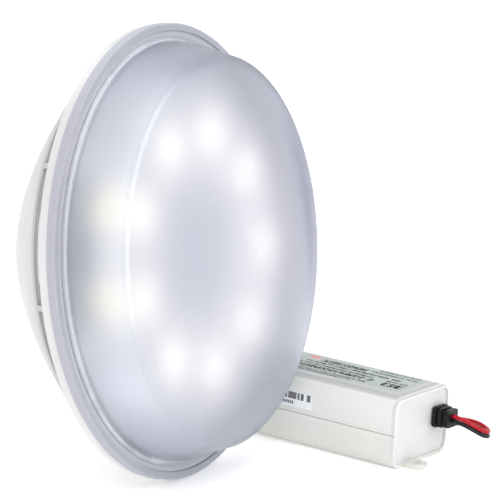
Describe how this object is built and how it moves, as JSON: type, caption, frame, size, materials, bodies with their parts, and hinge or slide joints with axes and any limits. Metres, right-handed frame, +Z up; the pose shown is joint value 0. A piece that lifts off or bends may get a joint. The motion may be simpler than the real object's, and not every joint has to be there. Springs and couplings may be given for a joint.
{
  "type": "underwater pool light",
  "caption": "Round frosted pool lamp with a white slotted rear bowl, wired by red and black leads to a small separate power supply with a strain relief and mounting ears.",
  "frame": {"origin": "middle of the lamp's cylindrical rim, the part a niche ring sits around", "axes": "+Z up; the lamp faces -Y and leans back by 8.4 degrees, standing on the lowest edge of its rim; the power supply lies on the same surface on the +X side"},
  "size_m": [0.2041, 0.168, 0.1777],
  "materials": {
    "lens_frosted": "frosted translucent moulding, lit from behind",
    "shell_white": "smooth white moulding",
    "seal_rubber": "moulded seal",
    "housing_grey": "plain moulding",
    "board_white": "white solder mask on an aluminium board",
    "led_package": "warm phosphor",
    "led_optic": "clear silicone dome",
    "screw_steel": "stainless",
    "pad_grey": "soft heat pad",
    "sink_aluminium": "as extruded",
    "reflector_white": "white reflector",
    "potting_black": "cast resin",
    "circuit_green": "solder mask on laminate",
    "component_black": "moulded package",
    "capacitor_sleeve": "shrink sleeve on a can",
    "ferrite": "sintered core",
    "winding_tape": "tape over the winding",
    "block_black": "glass-filled moulding",
    "terminal_brass": "turned brass",
    "fork_tinned": "tinned crimp terminal",
    "supply_white": "warm white moulding with a fine grain",
    "grommet_black": "ribbed strain relief",
    "label_silver": "satin silver film",
    "sticker_white": "white sticker",
    "lead_red": "soft insulation",
    "lead_black": "soft insulation"
  },
  "bodies": {
    "lamp": {"front_lens": "lens_frosted", "rear_shell": "shell_white", "lens_gasket": "seal_rubber", "housing_gasket": "seal_rubber", "dry_housing": "housing_grey", "led_board": "board_white", "led_packages": "led_package", "led_optics": "led_optic", "board_screws": "screw_steel", "thermal_pad": "pad_grey", "heat_sink": "sink_aluminium", "reflector_ring": "reflector_white", "potting_resin": "potting_black", "regulator_board": "circuit_green", "rectifier_bridge": "component_black", "smoothing_capacitor": "capacitor_sleeve", "filter_inductor": "ferrite", "terminal_block": "block_black", "terminal_posts": "terminal_brass", "red_fork": "fork_tinned", "black_fork": "fork_tinned", "red_lead_lamp_end": "lead_red", "black_lead_lamp_end": "lead_black"},
    "supply": {"supply_lower_case": "supply_white", "supply_upper_case": "supply_white", "output_grommet": "grommet_black", "input_grommet": "grommet_black", "supply_circuit_board": "circuit_green", "transformer_core": "ferrite", "transformer_winding": "winding_tape", "bulk_capacitor": "capacitor_sleeve", "output_capacitor": "capacitor_sleeve", "heat_spreader": "sink_aluminium", "switching_transistor": "component_black", "input_fuse": "component_black", "rating_label": "label_silver", "side_sticker": "sticker_white", "red_lead_supply_end": "lead_red", "black_lead_supply_end": "lead_black"},
    "red_washer": {"red_terminal_washer": "screw_steel"},
    "red_screw": {"red_terminal_screw": "screw_steel"},
    "black_washer": {"black_terminal_washer": "screw_steel"},
    "black_screw": {"black_terminal_screw": "screw_steel"}
  },
  "joints": [
    {"name": "supply_slide", "type": "slide", "parent": "lamp", "child": "supply", "axis": [1, 0, 0], "range_m": [0, 0.04]},
    {"name": "red_washer_lift", "type": "slide", "parent": "lamp", "child": "red_washer", "axis": [0, 0.9893, -0.1461], "range_m": [0, 0.0014]},
    {"name": "red_screw_turn", "type": "hinge", "parent": "red_washer", "child": "red_screw", "pos_m": [0.01, 0.0554, -0.00818], "axis": [0, 0.9893, -0.1461], "range_deg": [0, 721]},
    {"name": "black_washer_lift", "type": "slide", "parent": "lamp", "child": "black_washer", "axis": [0, 0.9893, -0.1461], "range_m": [0, 0.0014]},
    {"name": "black_screw_turn", "type": "hinge", "parent": "black_washer", "child": "black_screw", "pos_m": [-0.01, 0.0554, -0.00818], "axis": [0, 0.9893, -0.1461], "range_deg": [0, 721]}
  ],
  "couplings": [
    {"joint": "red_screw_turn", "follows": "red_washer_lift", "rad_per_m": 8976},
    {"joint": "black_screw_turn", "follows": "black_washer_lift", "rad_per_m": 8976}
  ]
}
